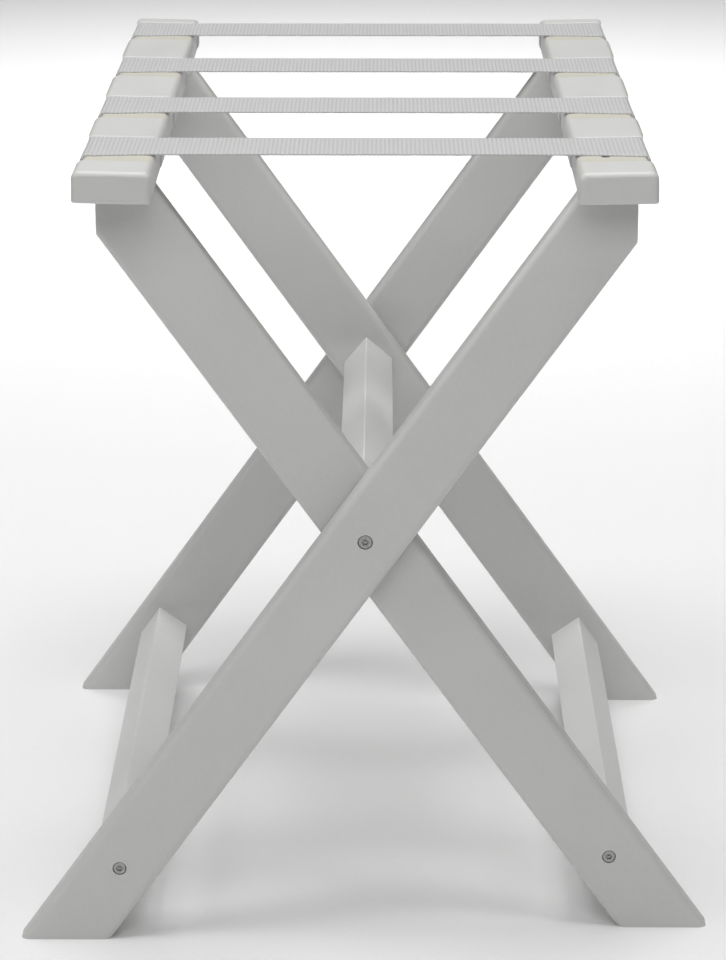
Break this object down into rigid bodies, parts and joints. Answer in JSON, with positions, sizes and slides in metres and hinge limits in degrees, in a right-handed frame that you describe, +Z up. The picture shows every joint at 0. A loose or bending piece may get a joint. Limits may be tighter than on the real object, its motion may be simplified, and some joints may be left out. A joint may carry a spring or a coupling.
{
  "type": "folding luggage rack",
  "caption": "Folding luggage rack: two crossing board frames turn on a square centre bar, with ribbed webbing straps stretched between the top rails to hold a suitcase.",
  "frame": {"origin": "on the floor under the pivot, halfway along the rack", "axes": "+X from the left rail to the right rail, +Y along the rails from front to rear, +Z up"},
  "size_m": [0.4192, 0.5326, 0.4841],
  "materials": {
    "board": "satin",
    "webbing": "ribbed webbing",
    "screw_steel": "satin",
    "washer": "satin"
  },
  "bodies": {
    "inner_frame": {"inner_leg_front": "board", "inner_leg_rear": "board", "rail_left": "board", "stretcher_right": "board", "stretcher_screw_right_front": "screw_steel", "stretcher_screw_right_rear": "screw_steel", "rail_screw_left_front": "screw_steel", "rail_screw_left_rear": "screw_steel", "strap_1_left_end": "webbing", "strap_2_left_end": "webbing", "strap_3_left_end": "webbing", "strap_4_left_end": "webbing", "strap_screws_1_left": "screw_steel", "strap_screws_2_left": "screw_steel", "strap_screws_3_left": "screw_steel", "strap_screws_4_left": "screw_steel"},
    "outer_frame": {"outer_leg_front": "board", "outer_leg_rear": "board", "rail_right": "board", "stretcher_left": "board", "stretcher_screw_left_front": "screw_steel", "stretcher_screw_left_rear": "screw_steel", "rail_screw_right_front": "screw_steel", "rail_screw_right_rear": "screw_steel", "strap_1_right_end": "webbing", "strap_2_right_end": "webbing", "strap_3_right_end": "webbing", "strap_4_right_end": "webbing", "strap_screws_1_right": "screw_steel", "strap_screws_2_right": "screw_steel", "strap_screws_3_right": "screw_steel", "strap_screws_4_right": "screw_steel"},
    "pivot_bar": {"pivot_bar": "board", "pivot_screw_front": "screw_steel", "pivot_screw_rear": "screw_steel", "pivot_washer_front": "washer", "pivot_washer_rear": "washer"},
    "strap_spans_left": {"strap_1_left_span": "webbing", "strap_2_left_span": "webbing", "strap_3_left_span": "webbing", "strap_4_left_span": "webbing"},
    "strap_spans_right": {"strap_1_right_span": "webbing", "strap_2_right_span": "webbing", "strap_3_right_span": "webbing", "strap_4_right_span": "webbing"}
  },
  "joints": [
    {"name": "fold", "type": "hinge", "parent": "inner_frame", "child": "outer_frame", "pos_m": [0, 0, 0.2545], "axis": [0, -1, 0], "range_deg": [0, 51]},
    {"name": "pivot_bar_turn", "type": "hinge", "parent": "inner_frame", "child": "pivot_bar", "pos_m": [0, 0, 0.2545], "axis": [0, -1, 0], "range_deg": [0, 26]},
    {"name": "left_strap_fold", "type": "hinge", "parent": "inner_frame", "child": "strap_spans_left", "pos_m": [-0.12406, 0, 0.47862], "axis": [0, 1, 0], "range_deg": [0, 60], "deforming": ["strap_1_left_span", "strap_2_left_span", "strap_3_left_span", "strap_4_left_span"]},
    {"name": "right_strap_fold", "type": "hinge", "parent": "outer_frame", "child": "strap_spans_right", "pos_m": [0.12406, 0, 0.47862], "axis": [0, -1, 0], "range_deg": [0, 60], "deforming": ["strap_1_right_span", "strap_2_right_span", "strap_3_right_span", "strap_4_right_span"]}
  ],
  "couplings": [
    {"joint": "pivot_bar_turn", "follows": "fold", "ratio": 0.5},
    {"joint": "left_strap_fold", "follows": "fold", "ratio": 1.17},
    {"joint": "right_strap_fold", "follows": "fold", "ratio": 1.17}
  ]
}
